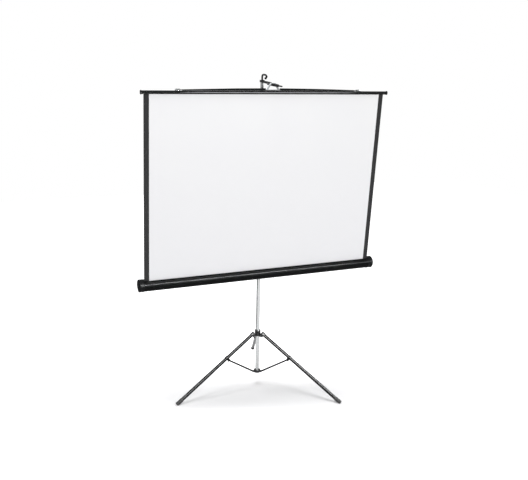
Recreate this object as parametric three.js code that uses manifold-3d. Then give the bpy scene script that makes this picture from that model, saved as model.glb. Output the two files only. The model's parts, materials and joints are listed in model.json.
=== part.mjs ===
// Tripod projector screen, standing open with its screen pulled up.
// Millimetres, +Z up. The screen faces -Y. The pieces are placed from the mast's centre line on the
// floor, and the whole is then moved so that the origin is under the middle of its outline.
import * as THREE from 'three';
import { mergeVertices } from 'three/addons/utils/BufferGeometryUtils.js';
import Module from 'manifold-3d';

const wasm = await Module();
wasm.setup();

// General fits
const seatGap = 0.3;
const cutOver = 2;
const mergeDistance = 1e-4;
const roundSteps = 16;
const fineSteps = 32;
const up = new THREE.Vector3(0, 0, 1);
const alongX = new THREE.Vector3(1, 0, 0);
const alongY = new THREE.Vector3(0, 1, 0);

// Mast and extension tubes
const mastSide = 20;
const mastWall = 1.2;
const mastTopHeight = 1250;
const extensionSide = 16;
const extensionWall = 1.2;
const extensionOverlap = 230;
const extensionTopHeight = 1975;

// Tripod linkage, in the upright plane of one leg
const legAzimuths = [70, 190, 310];
const legLean = THREE.MathUtils.degToRad(57.4);
const pivotReach = 28;
const legPivotHeight = 344.3;
const linkLength = 232.3;
const legRadius = 11.1;
const legWall = 1.2;
const braceWidth = 11;
const braceThickness = 3;
const foldClearance = 0.5;
const legDrop = legRadius + braceWidth / 2 + foldClearance;
const hubPivotHeight = legPivotHeight - 2 * linkLength * Math.cos(legLean);

// Screen and case. The spring motor's end needs more room, so the fabric is nearer the left end.
const caseLength = 1576;
const caseRadius = 37.5;
const caseWall = 1;
const caseY = -58;
const caseZ = 786;
const fabricInset = 26;
const fabricShift = -5;
const fabricWidth = caseLength - 2 * fabricInset;
const fabricThickness = 0.8;
const slatOverhang = 15;
const slatLength = fabricWidth + 2 * slatOverhang;
const slatHeight = 20;
const slatDepth = 14;
const slatY = -158;
const slatDrop = 65;
const slatZ = extensionTopHeight - slatDrop;
const rollerRadius = 13.5;
const rollRadius = 14.7;
const rollerWall = 1;

// Finishes
const finish = (color, roughness, metalness) => () =>
  new THREE.MeshStandardMaterial({ color, roughness, metalness });
const chrome = finish(0xd9dcdd, 0.25, 1);
const darkEnamel = finish(0x2e2f31, 0.45, 0.2);
const blackEnamel = finish(0x151617, 0.4, 0.2);
const blackPlastic = finish(0x1a1b1c, 0.5, 0);
const rubber = finish(0x111111, 0.85, 0);
const casting = finish(0x2a2b2c, 0.55, 0.3);
const paleFitting = finish(0xc9cccd, 0.4, 0.3);
const whiteFabric = finish(0xf2f2f4, 0.9, 0);
const steel = finish(0x9a9da0, 0.4, 0.9);

// Booleans
function toSolid(geometry) {
  const bare = geometry.clone();
  bare.deleteAttribute('normal');
  bare.deleteAttribute('uv');
  const merged = mergeVertices(bare, mergeDistance);
  return new wasm.Manifold(new wasm.Mesh({
    numProp: 3,
    vertProperties: new Float32Array(merged.attributes.position.array),
    triVerts: new Uint32Array(merged.index.array),
  }));
}

function toGeometry(solid) {
  const mesh = solid.getMesh();
  const geometry = new THREE.BufferGeometry();
  geometry.setAttribute('position', new THREE.BufferAttribute(new Float32Array(mesh.vertProperties), 3));
  geometry.setIndex(new THREE.BufferAttribute(new Uint32Array(mesh.triVerts), 1));
  const flat = geometry.toNonIndexed();
  flat.computeVertexNormals();
  return flat;
}

const join = (...parts) => toGeometry(parts.map(toSolid).reduce((sum, next) => sum.add(next)));
const cut = (body, ...tools) => toGeometry(
  tools.map(toSolid).reduce((sum, next) => sum.subtract(next), toSolid(body)));

// Plain shapes
function box(low, high) {
  const size = high.map((value, k) => value - low[k]);
  const middle = high.map((value, k) => (value + low[k]) / 2);
  return new THREE.BoxGeometry(...size).translate(...middle);
}

function turnedTo(geometry, direction) {
  const turn = new THREE.Quaternion().setFromUnitVectors(alongY, direction.clone().normalize());
  return geometry.applyQuaternion(turn);
}

function rod(from, to, radius, steps = roundSteps) {
  const start = new THREE.Vector3(...from);
  const end = new THREE.Vector3(...to);
  const middle = start.clone().add(end).multiplyScalar(1 / 2);
  const direction = end.clone().sub(start);
  const geometry = new THREE.CylinderGeometry(radius, radius, direction.length(), steps);
  return turnedTo(geometry, direction).translate(...middle);
}

// A profile of [radius, distance] pairs, spun about a line that starts at a point
function spun(profile, origin, direction, steps = fineSteps) {
  const points = profile.map(([radius, distance]) => new THREE.Vector2(radius, distance));
  const geometry = new THREE.LatheGeometry(points, steps);
  return turnedTo(geometry, direction).translate(...origin);
}

function outline(points, holes = []) {
  const shape = new THREE.Shape(points.map(([x, y]) => new THREE.Vector2(x, y)));
  for (const hole of holes) {
    shape.holes.push(new THREE.Path(hole.map(([x, y]) => new THREE.Vector2(x, y))));
  }
  return shape;
}

function arc(cx, cy, radius, startAngle, endAngle, steps) {
  return Array.from({ length: steps + 1 }, (_, k) => {
    const angle = startAngle + (endAngle - startAngle) * k / steps;
    return [cx + radius * Math.cos(angle), cy + radius * Math.sin(angle)];
  });
}

const squareLoop = (half) => [[-half, -half], [half, -half], [half, half], [-half, half]];

function extruded(shape, depth) {
  return new THREE.ExtrudeGeometry(shape, { depth, bevelEnabled: false, curveSegments: roundSteps });
}

// A profile in Y and Z, drawn out along X
function alongWidth(shape, from, to) {
  const basis = new THREE.Matrix4().makeBasis(alongY, up, alongX);
  return extruded(shape, to - from).applyMatrix4(basis).translate(from, 0, 0);
}

// A profile in X and Z, centred on a given Y
function upright(shape, thickness, y = 0) {
  const basis = new THREE.Matrix4().makeBasis(alongX, up, alongY.clone().negate());
  return extruded(shape, thickness).applyMatrix4(basis).translate(0, y + thickness / 2, 0);
}

const upwards = (shape, from, to) => extruded(shape, to - from).translate(0, 0, from);

const model = new THREE.Group();
const screen = new THREE.Group();
screen.add(model);

function place(name, geometry, material, group = model) {
  const mesh = new THREE.Mesh(geometry, material());
  mesh.name = name;
  group.add(mesh);
  return mesh;
}

// Hub casting at the foot of the mast: a cup with three forks, one for each brace
const hubRadius = 20.5;
const hubHeight = 18;
const hubFloor = 4;
const hubLow = hubPivotHeight - hubHeight / 2;
const forkCheek = 3;
const forkInner = braceThickness / 2 + seatGap;
const forkRound = 6.5;
const rivetRadius = 3.5;
const rivetHead = 1.5;

// A lug that reaches out from the mast's axis and ends round about a pivot
const lugShape = (height, reach, root, round) => outline([
  [root, height - round],
  ...arc(reach, height, round, -Math.PI / 2, Math.PI / 2, roundSteps / 2),
  [root, height + round],
]);

function spread(parts) {
  return legAzimuths.flatMap((azimuth) => {
    const turn = THREE.MathUtils.degToRad(azimuth);
    return parts.map((part) => part.clone().rotateZ(turn));
  });
}

const mastBore = mastSide / 2 + seatGap;
const forkShape = lugShape(hubPivotHeight, pivotReach, mastSide / 2, forkRound);
const forkOuter = forkInner + forkCheek;
const forkMiddle = (forkInner + forkOuter) / 2;
const hubForks = [-forkMiddle, forkMiddle].map((y) => upright(forkShape, forkCheek, y));
const hubRivets = [-1, 1].map((side) => rod(
  [pivotReach, side * (forkOuter - seatGap), hubPivotHeight],
  [pivotReach, side * (forkOuter + rivetHead), hubPivotHeight],
  rivetRadius, roundSteps / 2));
const hubCup = cut(
  join(
    rod([0, 0, hubLow], [0, 0, hubLow + hubHeight], hubRadius, fineSteps),
    ...spread([...hubForks, ...hubRivets]),
  ),
  box([-mastBore, -mastBore, hubLow + hubFloor], [mastBore, mastBore, hubLow + hubHeight + cutOver]),
);
place('hub_casting', hubCup, casting);

const mastLow = hubLow + hubFloor + seatGap;
const mastShape = outline(squareLoop(mastSide / 2), [squareLoop(mastSide / 2 - mastWall)]);
place('mast_tube', upwards(mastShape, mastLow, mastTopHeight), chrome);

// Plastic bushing on the mast's top, which guides the extension and carries its clamp screw
const bushWall = 3;
const bushLip = 4;
const bushHeight = 34;
const screwRadius = 3;
const screwBoss = 7;
const screwBossLength = 6;
const bushHalf = mastBore + bushWall;
const bushTop = mastTopHeight + bushLip;
const bushLow = bushTop - bushHeight;
const bushBoss = rod([0, bushHalf - cutOver, 0], [0, bushHalf + screwBossLength, 0], screwBoss);
const extensionBore = extensionSide / 2 + seatGap;
const heightScrewZ = mastTopHeight - bushHeight / 2;
const bushing = cut(
  join(
    box([-bushHalf, -bushHalf, bushLow], [bushHalf, bushHalf, bushTop]),
    bushBoss.clone().translate(0, 0, heightScrewZ),
  ),
  box([-mastBore, -mastBore, bushLow - cutOver], [mastBore, mastBore, mastTopHeight + seatGap]),
  box([-extensionBore, -extensionBore, bushLow], [extensionBore, extensionBore, bushTop + cutOver]),
  rod([0, 0, heightScrewZ], [0, bushHalf + screwBossLength + cutOver, heightScrewZ], screwRadius + seatGap),
);
place('mast_bushing', bushing, blackPlastic);

// Clamp knobs: a lobed plastic head on a screw that reaches the mast
const knobRadius = 13;
const knobLobe = 1.6;
const knobLobes = 8;
const knobDepth = 12;

function knob(bossEnd, height) {
  const lobes = Array.from({ length: fineSteps * 2 }, (_, k) => {
    const angle = 2 * Math.PI * k / (fineSteps * 2);
    const radius = knobRadius + knobLobe * Math.cos(knobLobes * angle);
    return [radius * Math.cos(angle), height + radius * Math.sin(angle)];
  });
  const headStart = bossEnd + seatGap;
  return join(
    upright(outline(lobes), knobDepth, headStart + knobDepth / 2),
    rod([0, mastSide / 2 + seatGap, height], [0, headStart + knobDepth / 2, height], screwRadius),
  );
}

place('height_knob', knob(bushHalf + screwBossLength, heightScrewZ), blackPlastic);

// Case slider: a sleeve on the mast with a round pad in front, on which the case is pivoted
const sliderWall = 3;
const sliderHeight = 88;
const sliderHalf = mastBore + sliderWall;
const padRadius = 22;
const saddleBack = 6;
const pivotBoltRadius = 5;
const saddleSpread = THREE.MathUtils.degToRad(52);
const saddleWidth = 120;
const caseBackY = caseY + caseRadius;
const saddleBackY = caseBackY + seatGap + saddleBack;
const padFrontY = saddleBackY + seatGap;
const sliderLow = caseZ - sliderHeight / 2;
const sliderTop = caseZ + sliderHeight / 2;
const caseScrewZ = sliderLow + sliderHeight / 4;
const pivotHole = rod([0, caseY, caseZ], [0, 0, caseZ], pivotBoltRadius + seatGap);
const slider = cut(
  join(
    box([-sliderHalf, -sliderHalf, sliderLow], [sliderHalf, sliderHalf, sliderTop]),
    rod([0, padFrontY, caseZ], [0, -mastBore, caseZ], padRadius, fineSteps),
    rod([0, mastBore, caseScrewZ], [0, sliderHalf + screwBossLength, caseScrewZ], screwBoss),
  ),
  box([-mastBore, -mastBore, sliderLow - cutOver], [mastBore, mastBore, sliderTop + cutOver]),
  pivotHole,
  rod([0, 0, caseScrewZ], [0, sliderHalf + screwBossLength + cutOver, caseScrewZ], screwRadius + seatGap),
);
place('case_slider', slider, casting);
place('case_knob', knob(sliderHalf + screwBossLength, caseScrewZ), blackPlastic);

const saddleInner = caseRadius + seatGap;
const saddleShape = outline([
  ...arc(caseY, caseZ, saddleInner, saddleSpread, -saddleSpread, roundSteps),
  [saddleBackY, caseZ - saddleInner * Math.sin(saddleSpread)],
  [saddleBackY, caseZ + saddleInner * Math.sin(saddleSpread)],
]);
const saddle = cut(alongWidth(saddleShape, -saddleWidth / 2, saddleWidth / 2), pivotHole);
place('case_saddle', saddle, casting);
const boltStartY = caseBackY + 2 * seatGap;
place('case_pivot_bolt', rod([0, boltStartY, caseZ], [0, -mastBore, caseZ], pivotBoltRadius), steel);

// Fabric path: a straight line from the slat to the front of the roll
const fabricLine = rollRadius + seatGap + fabricThickness / 2;
const riseY = slatY - caseY;
const riseZ = slatZ - caseZ;
const riseAngle = Math.atan2(riseZ, riseY);
const tangentAngle = riseAngle + Math.acos(fabricLine / Math.hypot(riseY, riseZ));
const tangent = [caseY + fabricLine * Math.cos(tangentAngle), caseZ + fabricLine * Math.sin(tangentAngle)];
const fabricAngle = Math.atan2(slatZ - tangent[1], slatY - tangent[0]);
const fabricDirection = [Math.cos(fabricAngle), Math.sin(fabricAngle)];
const fabricNormal = [-fabricDirection[1], fabricDirection[0]];
const onFabric = (distance, side) => [
  tangent[0] + distance * fabricDirection[0] + side * fabricNormal[0],
  tangent[1] + distance * fabricDirection[1] + side * fabricNormal[1],
];
const slatDistance = Math.hypot(slatZ - tangent[1], slatY - tangent[0]);
const grooveShare = 0.33;
const grooveDepth = slatHeight * grooveShare;
const fabricEnd = slatDistance - slatHeight / 2 + grooveDepth - seatGap;
const fabricShape = outline([
  onFabric(0, -fabricThickness / 2),
  onFabric(fabricEnd, -fabricThickness / 2),
  onFabric(fabricEnd, fabricThickness / 2),
  onFabric(0, fabricThickness / 2),
]);
const fabricLeft = fabricShift - fabricWidth / 2;
const fabricRight = fabricShift + fabricWidth / 2;
place('screen_fabric', alongWidth(fabricShape, fabricLeft, fabricRight), whiteFabric);

// Case shell: an extruded tube with grooves along it and one slot for the fabric
const slotHalf = 3;
const grooveCount = 26;
const grooveSink = 0.7;
const grooveSteps = 4;
const slotOut = Math.sqrt(caseRadius ** 2 - fabricLine ** 2);
const slotAngle = tangentAngle - Math.acos(fabricLine / Math.hypot(fabricLine, slotOut));
const slotShare = slotHalf / caseRadius;
const shellStart = slotAngle + slotShare;
const shellEnd = slotAngle + 2 * Math.PI - slotShare;
const shellSteps = grooveCount * grooveSteps;
const shellOutside = Array.from({ length: shellSteps + 1 }, (_, k) => {
  const angle = shellStart + (shellEnd - shellStart) * k / shellSteps;
  const radius = caseRadius - (k % grooveSteps === grooveSteps / 2 ? grooveSink : 0);
  return [caseY + radius * Math.cos(angle), caseZ + radius * Math.sin(angle)];
});
const shellShape = outline([
  ...shellOutside,
  ...arc(caseY, caseZ, caseRadius - caseWall, shellEnd, shellStart, fineSteps),
]);
place('case_shell', alongWidth(shellShape, -caseLength / 2, caseLength / 2), blackEnamel);

// Case end caps: a plug inside the shell, a sleeve outside it that reaches to the fabric's edge, and
// a journal for the roller
const capSleeveThickness = 1.2;
const capRim = caseRadius + seatGap + capSleeveThickness;
const capRimDepth = 8;
const capDome = 3;
const capEdgeGap = 2;
const capPlugDepth = 8;
const journalRadius = 5;
const journalLength = 14;
const capPlug = caseRadius - caseWall - seatGap;
const capShare = 0.8;
for (const [name, side, fabricEdge] of [['left', -1, -fabricLeft], ['right', 1, fabricRight]]) {
  const capSleeve = caseLength / 2 - fabricEdge - capEdgeGap;
  const profile = [
    [0, -capPlugDepth - journalLength],
    [journalRadius, -capPlugDepth - journalLength],
    [journalRadius, -capPlugDepth],
    [capPlug, -capPlugDepth],
    [capPlug, seatGap],
    [caseRadius + seatGap, seatGap],
    [caseRadius + seatGap, -capSleeve],
    [capRim, -capSleeve],
    [capRim, capRimDepth],
    [capRim * capShare, capRimDepth + capDome],
    [0, capRimDepth + capDome],
  ];
  const origin = [side * caseLength / 2, caseY, caseZ];
  place(`case_cap_${name}`, spun(profile, origin, new THREE.Vector3(side, 0, 0)), blackPlastic);
}

// Roller: a steel tube with a plug in each end, turning on the caps' journals
const rollerEndPlay = 1;
const rollerLength = caseLength - 2 * (capPlugDepth + rollerEndPlay);
const rollerEnd = rollerLength / 2;
const plugDepth = 24;
const plugRadius = rollerRadius - rollerWall - seatGap;
const ring = (radius) => arc(caseY, caseZ, radius, 0, 2 * Math.PI, roundSteps).slice(0, -1);
const ringShape = (outer, inner) => outline(ring(outer), [ring(inner).reverse()]);
const rollerShape = ringShape(rollerRadius, rollerRadius - rollerWall);
place('roller_tube', alongWidth(rollerShape, -rollerEnd, rollerEnd), steel);
const rollShape = ringShape(rollRadius, rollerRadius + seatGap);
place('fabric_roll', alongWidth(rollShape, fabricLeft, fabricRight), whiteFabric);
for (const [name, side] of [['left', -1], ['right', 1]]) {
  const ends = [side * (rollerEnd - plugDepth), side * rollerEnd].sort((a, b) => a - b);
  const plug = alongWidth(ringShape(plugRadius, journalRadius + seatGap), ...ends);
  place(`roller_plug_${name}`, plug, blackPlastic);
}

// Spring motor: the wound spring that pulls the fabric in, a sleeve inside the roller's right end
const motorLength = 320;
const motorRadius = rollerRadius - rollerWall - 2 * seatGap;
const motorEnd = rollerEnd - plugDepth - seatGap;
const motor = alongWidth(ringShape(motorRadius, journalRadius), motorEnd - motorLength, motorEnd);
place('spring_motor', motor, steel);

// Slat: an oval bar across the screen's top, grooved below for the fabric, square to the fabric
const slatTurn = fabricAngle - Math.PI / 2;
const turnSlat = ([y, z]) => [
  slatY + y * Math.cos(slatTurn) - z * Math.sin(slatTurn),
  slatZ + y * Math.sin(slatTurn) + z * Math.cos(slatTurn),
];
const slatWall = 1.5;
const slatBoreHalf = slatDepth / 2 - slatWall;
const slatSquare = slatHeight / 2 - slatDepth / 2;
const grooveHalf = fabricThickness / 2 + seatGap;
const grooveAngle = Math.asin(grooveHalf / (slatDepth / 2));
const slatLoop = (grow) => [
  ...arc(0, slatSquare, slatDepth / 2 + grow, 0, Math.PI, roundSteps / 2),
  ...arc(0, -slatSquare, slatDepth / 2 + grow, Math.PI, 2 * Math.PI, roundSteps / 2),
];
const slatShape = outline([
  ...arc(0, slatSquare, slatDepth / 2, 0, Math.PI, roundSteps / 2),
  ...arc(0, -slatSquare, slatDepth / 2, Math.PI, 1.5 * Math.PI - grooveAngle, roundSteps / 4),
  [-grooveHalf, -slatHeight / 2 + grooveDepth],
  [grooveHalf, -slatHeight / 2 + grooveDepth],
  ...arc(0, -slatSquare, slatDepth / 2, 1.5 * Math.PI + grooveAngle, 2 * Math.PI, roundSteps / 4),
].map(turnSlat), [[
  [-slatBoreHalf, -slatHeight / 2 + grooveDepth + slatWall],
  [slatBoreHalf, -slatHeight / 2 + grooveDepth + slatWall],
  [slatBoreHalf, slatSquare],
  [0, slatHeight / 2 - slatWall],
  [-slatBoreHalf, slatSquare],
].map(turnSlat)]);
place('slat', alongWidth(slatShape, -slatLength / 2, slatLength / 2), blackEnamel);

const slatCapDepth = 8;
const slatCapGrow = 2;
const slatCapShape = outline(slatLoop(slatCapGrow).map(turnSlat));
for (const [name, side] of [['left', -1], ['right', 1]]) {
  const ends = [slatLength / 2 + seatGap, slatLength / 2 + slatCapDepth]
    .map((end) => side * end)
    .sort((a, b) => a - b);
  place(`slat_cap_${name}`, alongWidth(slatCapShape, ...ends), blackPlastic);
}

// Bail: a crescent plate on edge along the slat's top, held in two clips, with a seat for the hanger
const bailInset = 202;
const bailHalf = slatLength / 2 - bailInset;
const bailRise = 9;
const bailEnd = 3;
const bailWidth = 5;
const bailSeat = 4;
const hangerBase = 90;
const clipWidth = 26;
const clipHeight = 9;
const clipOverhang = 2;
const clipFloor = 2;
const bailSteps = 12;
const slatTop = slatZ + slatHeight / 2 + seatGap;
const bailLow = slatTop + clipFloor + seatGap;
const bailStep = bailHalf - clipWidth;
const seatHalf = hangerBase / 2 + seatGap;
const bailTop = (x) => bailLow + bailEnd + bailRise * (1 - (x / bailHalf) ** 2);
const bailCrown = Array.from({ length: bailSteps + 1 }, (_, k) => {
  const x = bailHalf + (seatHalf - bailHalf) * k / bailSteps;
  return [x, bailTop(x)];
});
const bailShape = outline([
  [-bailHalf, bailLow],
  [-bailStep, bailLow],
  [-bailStep, slatTop],
  [bailStep, slatTop],
  [bailStep, bailLow],
  [bailHalf, bailLow],
  ...bailCrown,
  [seatHalf, slatTop + bailSeat],
  [-seatHalf, slatTop + bailSeat],
  ...bailCrown.map(([x, z]) => [-x, z]).reverse(),
]);
place('bail_strip', upright(bailShape, bailWidth, slatY), blackEnamel);

for (const [name, side] of [['left', -1], ['right', 1]]) {
  const middle = side * bailHalf;
  const clipHalf = slatDepth / 2 + clipOverhang;
  const low = [middle - clipWidth / 2, slatY - clipHalf, slatTop];
  const high = [middle + clipWidth / 2, slatY + clipHalf, slatTop + clipHeight];
  const mouth = box(
    [low[0] - cutOver, slatY - bailWidth / 2 - seatGap, slatTop + clipFloor],
    [high[0] + cutOver, slatY + bailWidth / 2 + seatGap, bailTop(bailHalf - clipWidth / 2) + seatGap]);
  place(`bail_clip_${name}`, cut(box(low, high), mouth), chrome);
}

// Top block on the extension tube, with the carrying crook and the two cheeks of the arm
const blockWall = 3;
const blockHeight = 14;
const blockHalf = extensionBore + blockWall;
const cheekThickness = 2.5;
const cheekHeight = 12;
const cheekReach = 124;
const cheekDropShare = 0.055;
const armWidth = 8;
const armHeight = 16;
const armStart = 78;
const armBevel = 14;
const armEnd = 226;
const tipReach = 282;
const tipHeight = 7;
const armSlopeShare = 0.05;
const armDrop = 10;
const armBoltReach = 105;
const armBoltRadius = 3;
const armBoltHead = 5;
const notchDepth = 3;
const notchWidth = 9;
const notchPitch = 20;
const notchCount = 4;
const crookRadius = 5.5;
const crookRise = 31;
const crookReach = 66;
const crookShares = [
  [0, 0.3], [0, 0.6], [0.1, 0.92], [0.42, 1], [0.78, 0.93], [1, 0.64], [0.78, 0.34]];

const blockTop = extensionTopHeight + seatGap + blockWall;
const blockLow = blockTop - blockHeight;
const cheekZ = extensionTopHeight - cheekHeight / 2;
const cheekShape = outline([
  [0, cheekZ - cheekHeight / 2],
  [0, cheekZ + cheekHeight / 2],
  [-cheekReach, cheekZ + cheekHeight / 2 - cheekReach * cheekDropShare],
  [-cheekReach, cheekZ - cheekHeight / 2 - cheekReach * cheekDropShare],
]);
const cheekOffset = armWidth / 2 + seatGap;
const cheekPlates = [
  alongWidth(cheekShape, -cheekOffset - cheekThickness, -cheekOffset),
  alongWidth(cheekShape, cheekOffset, cheekOffset + cheekThickness),
];
const armZ = (reach) => cheekZ - armDrop - (reach - armStart) * armSlopeShare;
const armBoltZ = cheekZ - armBoltReach * cheekDropShare - cheekHeight / 4;
const armBoltHole = rod(
  [-armWidth * 2, -armBoltReach, armBoltZ], [armWidth * 2, -armBoltReach, armBoltZ], armBoltRadius + seatGap);
const block = cut(
  join(box([-blockHalf, -blockHalf, blockLow], [blockHalf, blockHalf, blockTop]), ...cheekPlates),
  box(
    [-extensionBore, -extensionBore, blockLow - cutOver],
    [extensionBore, extensionBore, extensionTopHeight + seatGap]),
  armBoltHole,
);
place('top_block', block, casting);

const crookPath = new THREE.CatmullRomCurve3([
  new THREE.Vector3(0, 0, blockTop + seatGap),
  ...crookShares.map(([y, z]) => new THREE.Vector3(0, -crookReach * y, blockTop + crookRise * z)),
]);
const crookSection = outline(arc(0, 0, crookRadius, 0, 2 * Math.PI, roundSteps / 2).slice(0, -1));
const crook = new THREE.ExtrudeGeometry(crookSection, {
  steps: fineSteps, bevelEnabled: false, extrudePath: crookPath,
});
place('carrying_crook', crook, blackPlastic);

const extensionShape = outline(
  squareLoop(extensionSide / 2), [squareLoop(extensionSide / 2 - extensionWall)]);
const extensionLow = mastTopHeight - extensionOverlap;
place('extension_tube', upwards(extensionShape, extensionLow, extensionTopHeight), chrome);

// Arm: a notched bar that slides between the cheeks; the hanger hooks over one notch
const notchReaches = Array.from({ length: notchCount }, (_, k) => -slatY + (k - 1) * notchPitch);
const armTopEdge = notchReaches.flatMap((reach) => {
  const top = armZ(reach) + armHeight / 2;
  return [
    [-(reach - notchWidth / 2), top],
    [-(reach - notchWidth / 2), top - notchDepth],
    [-(reach + notchWidth / 2), top - notchDepth],
    [-(reach + notchWidth / 2), top],
  ];
});
const armShape = outline([
  [-armStart - armBevel, armZ(armStart + armBevel) - armHeight / 2],
  [-armStart, armZ(armStart) - tipHeight / 2],
  [-armStart, armZ(armStart) + tipHeight / 2],
  [-armStart - armBevel, armZ(armStart + armBevel) + armHeight / 2],
  ...armTopEdge,
  [-armEnd, armZ(armEnd) + armHeight / 2],
  [-armEnd - armBevel, armZ(armEnd + armBevel) + tipHeight / 2],
  [-tipReach, armZ(tipReach) + tipHeight / 2],
  [-tipReach, armZ(tipReach) - tipHeight / 2],
  [-armEnd - armBevel, armZ(armEnd + armBevel) - tipHeight / 2],
  [-armEnd, armZ(armEnd) - armHeight / 2],
]);
place('keystone_arm', cut(alongWidth(armShape, -armWidth / 2, armWidth / 2), armBoltHole), darkEnamel);
const boltHalf = cheekOffset + cheekThickness + 2 * seatGap;
place('arm_bolt', spun([
  [0, -boltHalf - armBoltRadius],
  [armBoltHead, -boltHalf - armBoltRadius],
  [armBoltHead, -boltHalf],
  [armBoltRadius, -boltHalf],
  [armBoltRadius, boltHalf],
  [armBoltHead, boltHalf],
  [armBoltHead, boltHalf + armBoltRadius],
  [0, boltHalf + armBoltRadius],
], [0, -armBoltReach, armBoltZ], alongX, roundSteps), chrome);

// Hanger: a pale moulded stirrup on the strip's middle, with its crossbar in the arm's notch
const hangerTop = 30;
const hangerBar = 5;
const hangerDepth = 7;
const hangerFoot = 3;
const hangerCorner = 15;
const hangerEdge = 2;
const hangerLow = slatTop + bailSeat + seatGap;
const crossbarLow = armZ(-slatY) + armHeight / 2 - notchDepth + seatGap;
const hangerShape = outline([
  [-hangerBase / 2, hangerLow],
  [hangerBase / 2, hangerLow],
  [hangerBase / 2, hangerLow + hangerEdge],
  [hangerTop / 2, crossbarLow + hangerBar],
  [-hangerTop / 2, crossbarLow + hangerBar],
  [-hangerBase / 2, hangerLow + hangerEdge],
], [[
  [-hangerBase / 2 + hangerCorner, hangerLow + hangerFoot],
  [-hangerTop / 2 + hangerBar, crossbarLow],
  [hangerTop / 2 - hangerBar, crossbarLow],
  [hangerBase / 2 - hangerCorner, hangerLow + hangerFoot],
]]);
place('bail_hanger', upright(hangerShape, hangerDepth, slatY), paleFitting);

// Leg collar: a casting that slides on the mast, with three lugs and a latch button
const collarRadius = 19;
const collarBelow = 1;
const collarAbove = 37;
const lugThickness = 10;
const lugRound = legDrop - legRadius - foldClearance;
const pinRadius = 3;
const latchAzimuth = 250;
const latchRadius = 4;
const latchBoss = 7.5;
const latchStart = 17.5;
const latchReach = 31;
const latchBossReach = 25;
const collarLow = legPivotHeight - collarBelow;
const collarTop = legPivotHeight + collarAbove;
const collarBoreLow = Math.min(collarLow, legPivotHeight - lugRound) - cutOver;
const latchZ = collarTop - latchBoss;
const collarLug = upright(lugShape(legPivotHeight, pivotReach, mastSide / 2, lugRound), lugThickness);
const pinHole = rod(
  [pivotReach, -mastSide, legPivotHeight], [pivotReach, mastSide, legPivotHeight], pinRadius + seatGap);
const latchLine = (from, to, radius) => rod([from, 0, latchZ], [to, 0, latchZ], radius)
  .rotateZ(THREE.MathUtils.degToRad(latchAzimuth));
const collar = cut(
  join(
    rod([0, 0, collarLow], [0, 0, collarTop], collarRadius, fineSteps),
    ...spread([collarLug]),
    latchLine(mastBore, latchBossReach, latchBoss),
  ),
  box([-mastBore, -mastBore, collarBoreLow], [mastBore, mastBore, collarTop + cutOver]),
  latchLine(0, latchBossReach + cutOver, latchRadius + seatGap),
  ...spread([pinHole]),
);
place('leg_collar', collar, casting);
place('latch_button', latchLine(latchStart, latchReach, latchRadius), blackPlastic);

// One leg in its own upright plane, from the collar's fork to the floor
const alongLeg = [Math.sin(legLean), -Math.cos(legLean)];
const awayLeg = [Math.cos(legLean), Math.sin(legLean)];
const onLeg = (distance, rise = 0) => [
  pivotReach + distance * alongLeg[0] + (legDrop + rise) * awayLeg[0],
  legPivotHeight + distance * alongLeg[1] + (legDrop + rise) * awayLeg[1],
];
const legPoint = (distance, rise = 0) => {
  const [reach, height] = onLeg(distance, rise);
  return [reach, 0, height];
};
const legStart = -8;
const tipEndHeight = 6;
const tipLength = 38;
const tipRadius = 13;
const tipSeat = 3;
const tipLip = 1;
const tubeShort = 12;
const hoodThickness = 2.5;
const hoodLength = 24;
const hoodRound = 7;
const pinShoulder = 1;
const legEnd = (legPivotHeight + legDrop * awayLeg[1] - tipEndHeight) / Math.cos(legLean);
const tubeEnd = legEnd - tubeShort;
const legDirection = new THREE.Vector3(alongLeg[0], 0, alongLeg[1]);
const braceEndRound = braceWidth / 2;
const clipStrapWidth = 18;
const clipStrapThickness = 1.8;
const clipInner = legRadius + seatGap;
const clipOuter = clipInner + clipStrapThickness;
const brace = [
  pivotReach + linkLength * Math.sin(legLean), legPivotHeight - linkLength * Math.cos(legLean)];

// A section folded over the leg: a half ring with two cheeks that hang down to a given depth
function foldedOver(outer, depth, length) {
  const section = outline([
    [-outer, -depth],
    [-clipInner, -depth],
    ...arc(0, 0, clipInner, Math.PI, 0, roundSteps),
    [clipInner, -depth],
    [outer, -depth],
    ...arc(0, 0, outer, 0, Math.PI, roundSteps),
  ]);
  const awayLine = new THREE.Vector3(awayLeg[0], 0, awayLeg[1]);
  const basis = new THREE.Matrix4().makeBasis(
    awayLine.clone().cross(legDirection), awayLine, legDirection);
  return extruded(section, length).applyMatrix4(basis);
}

// A cast hood over the leg's top, whose two cheeks narrow down to the pin
const hoodOuter = clipInner + hoodThickness;
const hoodStart = legStart - seatGap - hoodThickness;

function legEndFitting() {
  const hood = foldedOver(hoodOuter, legDrop + hoodRound, hoodLength)
    .translate(...legPoint(hoodStart));
  const end = rod(legPoint(hoodStart), legPoint(legStart - seatGap), hoodOuter);
  const cheekCut = (points) => upright(
    outline(points.map(([distance, rise]) => onLeg(distance, rise))), hoodOuter * 4);
  const depth = -legDrop - hoodRound - cutOver;
  const start = hoodStart - cutOver;
  const stop = hoodStart + hoodLength + cutOver;
  return cut(join(hood, end), pinHole,
    cheekCut([[start, depth], [-hoodRound / 2, depth], [-hoodRound, -legDrop], [start, -legRadius]]),
    cheekCut([[stop, depth], [stop, -legRadius], [hoodRound, -legDrop], [hoodRound / 2, depth]]));
}

// A strap folded over the leg, whose two cheeks carry the brace's pin
function legClip() {
  return foldedOver(clipOuter, legDrop + braceEndRound, clipStrapWidth)
    .translate(...legPoint(linkLength - clipStrapWidth / 2));
}

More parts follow.
